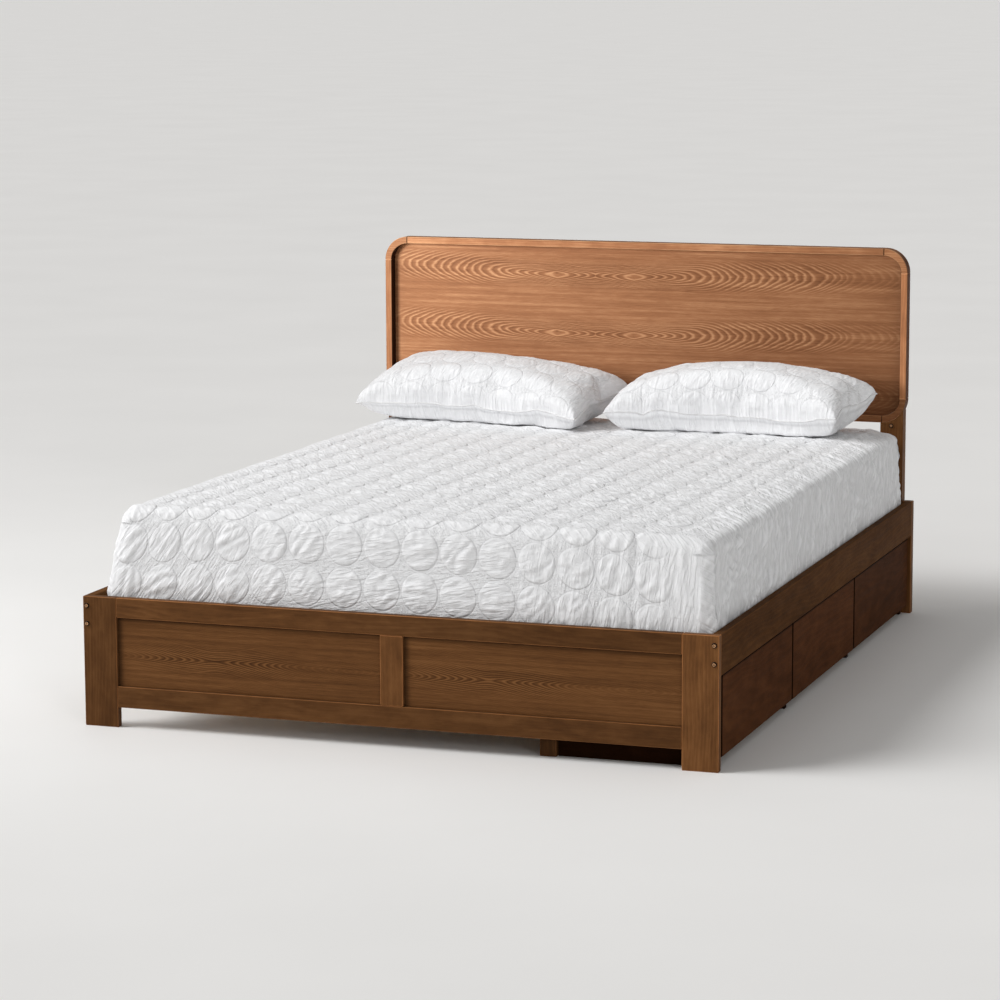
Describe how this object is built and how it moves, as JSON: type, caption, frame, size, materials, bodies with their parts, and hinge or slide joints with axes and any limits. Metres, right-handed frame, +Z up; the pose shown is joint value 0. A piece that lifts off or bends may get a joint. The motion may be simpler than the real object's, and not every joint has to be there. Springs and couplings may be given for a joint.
{
  "type": "platform bed with storage drawers",
  "caption": "Low wooden platform bed with a panelled footboard, a rounded framed headboard, drawers along one side, a quilted mattress and pillows.",
  "frame": {"origin": "centre of the bounding box, on the floor", "axes": "+Z up, +Y from the footboard towards the headboard, +X towards the side with the drawers"},
  "size_m": [1.63, 2.0898, 1.0535],
  "materials": {
    "walnut": "satin walnut stain",
    "headboard_wood": "satin walnut stain, lighter",
    "drawer_wood": "satin walnut stain",
    "box_wood": "clear matte, unstained",
    "slat_wood": "bare pine",
    "bolt_bronze": "aged bronze",
    "mattress_quilt": "white knitted quilted cover",
    "pillow_cover": "white quilted cover"
  },
  "bodies": {
    "root": {"foot_post_left": "walnut", "foot_post_right": "walnut", "foot_top_rail": "walnut", "foot_bottom_rail": "walnut", "foot_middle_stile": "walnut", "foot_panel_left": "walnut", "foot_panel_right": "walnut", "side_rail_left": "walnut", "side_rail_right": "walnut", "slat_ledger_left": "slat_wood", "slat_ledger_right": "slat_wood", "rear_post_left": "walnut", "rear_post_right": "walnut", "rear_rail": "walnut", "headboard_leg_left": "walnut", "headboard_leg_right": "walnut", "headboard_top_rail": "headboard_wood", "headboard_bottom_rail": "headboard_wood", "headboard_stile_left": "headboard_wood", "headboard_stile_right": "headboard_wood", "headboard_corner_bottom_left": "headboard_wood", "headboard_corner_bottom_right": "headboard_wood", "headboard_corner_top_left": "headboard_wood", "headboard_corner_top_right": "headboard_wood", "headboard_panel": "headboard_wood", "drawer_beam": "slat_wood", "drawer_beam_leg_foot": "walnut", "drawer_beam_leg_head": "walnut", "centre_beam": "slat_wood", "centre_beam_leg_1": "walnut", "centre_beam_leg_2": "walnut", "slat_roll": "slat_wood", "drawer_divider_1": "drawer_wood", "drawer_divider_2": "drawer_wood", "drawer_divider_3": "drawer_wood", "drawer_divider_4": "drawer_wood", "foot_bolt_lower_left": "bolt_bronze", "foot_bolt_upper_left": "bolt_bronze", "foot_bolt_lower_right": "bolt_bronze", "foot_bolt_upper_right": "bolt_bronze", "headboard_bolt_left": "bolt_bronze", "headboard_bolt_right": "bolt_bronze", "mattress": "mattress_quilt", "pillow_left": "pillow_cover", "pillow_right": "pillow_cover"},
    "drawer_foot": {"drawer_foot_front": "drawer_wood", "drawer_foot_side_foot": "box_wood", "drawer_foot_side_head": "box_wood", "drawer_foot_back": "box_wood", "drawer_foot_bottom": "box_wood"},
    "drawer_middle": {"drawer_middle_front": "drawer_wood", "drawer_middle_side_foot": "box_wood", "drawer_middle_side_head": "box_wood", "drawer_middle_back": "box_wood", "drawer_middle_bottom": "box_wood"},
    "drawer_head": {"drawer_head_front": "drawer_wood", "drawer_head_side_foot": "box_wood", "drawer_head_side_head": "box_wood", "drawer_head_back": "box_wood", "drawer_head_bottom": "box_wood"}
  },
  "joints": [
    {"name": "drawer_foot_slide", "type": "slide", "parent": "root", "child": "drawer_foot", "axis": [1, 0, 0], "range_m": [0, 0.33]},
    {"name": "drawer_middle_slide", "type": "slide", "parent": "root", "child": "drawer_middle", "axis": [1, 0, 0], "range_m": [0, 0.33]},
    {"name": "drawer_head_slide", "type": "slide", "parent": "root", "child": "drawer_head", "axis": [1, 0, 0], "range_m": [0, 0.33]}
  ]
}
